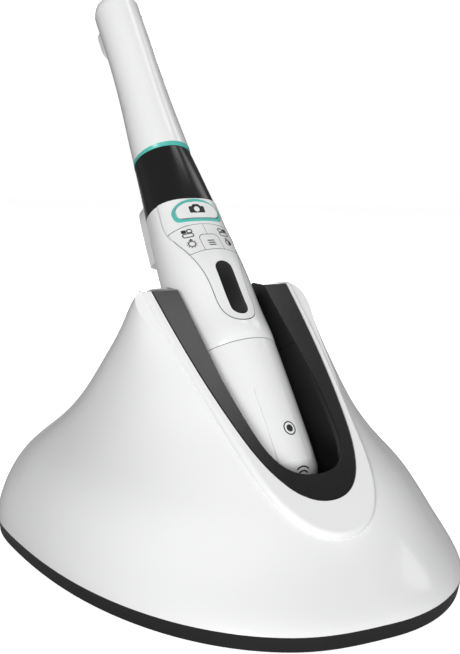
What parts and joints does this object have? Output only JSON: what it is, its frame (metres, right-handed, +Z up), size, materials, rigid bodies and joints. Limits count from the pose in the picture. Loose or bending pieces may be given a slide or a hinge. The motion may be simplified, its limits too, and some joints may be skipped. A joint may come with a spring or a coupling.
{
  "type": "intraoral camera",
  "caption": "Cordless dental intraoral camera leaning in a bell-shaped white desk cradle with a black trough, capture button, keypad and charging pins.",
  "frame": {"origin": "middle of the whole object's footprint, on the table plane under the rubber feet", "axes": "+Z up, -Y towards the cradle's nose and the keypad side, +X to the cradle's left as it faces the user, X = 0 the symmetry plane"},
  "size_m": [0.1348, 0.1772, 0.1851],
  "materials": {
    "white_shell": "glossy white",
    "white_keys": "satin white",
    "gloss_black": "polished black",
    "band_black": "fine-textured black",
    "teal": "glossy teal",
    "rubber": "matte",
    "steel": "satin",
    "contact_gold": "polished",
    "clear_window": "polished",
    "circuit_board": "solder mask",
    "inner_plastic": "moulded",
    "led_white": "phosphor",
    "cell_wrap": "shrink wrap",
    "ribbon": "polyimide"
  },
  "bodies": {
    "cradle": {"cradle_shell": "white_shell", "cradle_liner": "gloss_black", "base_band": "band_black", "rubber_feet": "rubber", "base_screws": "steel", "ballast_plate": "steel", "pin_block": "band_black", "charge_board": "circuit_board", "pin_spring_left": "steel", "pin_spring_right": "steel", "inlet_jack": "band_black"},
    "handpiece": {"neck_shell": "white_shell", "grip_shell": "white_shell", "tail_shell": "white_shell", "front_panel": "white_shell", "rear_spine": "white_shell", "collar": "gloss_black", "display_window": "gloss_black", "lens_bezel": "gloss_black", "teal_ring": "teal", "button_ring": "teal", "sleeve_seal": "rubber", "board_screws": "steel", "battery_spring": "steel", "tail_contacts": "contact_gold", "lens_window": "clear_window", "led_board": "circuit_board", "sensor_board": "circuit_board", "main_board": "circuit_board", "radio_board": "circuit_board", "status_board": "circuit_board", "contact_plate": "circuit_board", "chassis": "inner_plastic", "tact_switches": "inner_plastic", "lens_barrel": "inner_plastic", "leds": "led_white", "battery": "cell_wrap", "flex_cable": "ribbon"},
    "capture_button": {"capture_button": "white_keys"},
    "key_left": {"key_left": "white_keys"},
    "key_right": {"key_right": "white_keys"},
    "key_mode": {"key_mode": "white_keys"},
    "power_slider": {"power_slider": "band_black"},
    "charge_pin_left": {"charge_pin_left": "contact_gold"},
    "charge_pin_right": {"charge_pin_right": "contact_gold"}
  },
  "joints": [
    {"name": "handpiece_lift", "type": "slide", "parent": "cradle", "child": "handpiece", "axis": [0, 0.6018, 0.7986], "range_m": [0, 0.11]},
    {"name": "capture_press", "type": "slide", "parent": "handpiece", "child": "capture_button", "axis": [0, 0.7986, -0.6018], "range_m": [0, 0.0006], "stiffness_N_per_m": 2500},
    {"name": "key_left_press", "type": "slide", "parent": "handpiece", "child": "key_left", "axis": [0, 0.7986, -0.6018], "range_m": [0, 0.0004], "stiffness_N_per_m": 4000},
    {"name": "key_right_press", "type": "slide", "parent": "handpiece", "child": "key_right", "axis": [0, 0.7986, -0.6018], "range_m": [0, 0.0004], "stiffness_N_per_m": 4000},
    {"name": "key_mode_press", "type": "slide", "parent": "handpiece", "child": "key_mode", "axis": [0, 0.7986, -0.6018], "range_m": [0, 0.0004], "stiffness_N_per_m": 4000},
    {"name": "power_slide", "type": "slide", "parent": "handpiece", "child": "power_slider", "axis": [0, 0.6018, 0.7986], "range_m": [0, 0.003]},
    {"name": "charge_pin_left_press", "type": "slide", "parent": "cradle", "child": "charge_pin_left", "axis": [0, -0.6018, -0.7986], "range_m": [0, 0.0008], "stiffness_N_per_m": 1000, "deforming": ["pin_spring_left"]},
    {"name": "charge_pin_right_press", "type": "slide", "parent": "cradle", "child": "charge_pin_right", "axis": [0, -0.6018, -0.7986], "range_m": [0, 0.0008], "stiffness_N_per_m": 1000, "deforming": ["pin_spring_right"]}
  ]
}
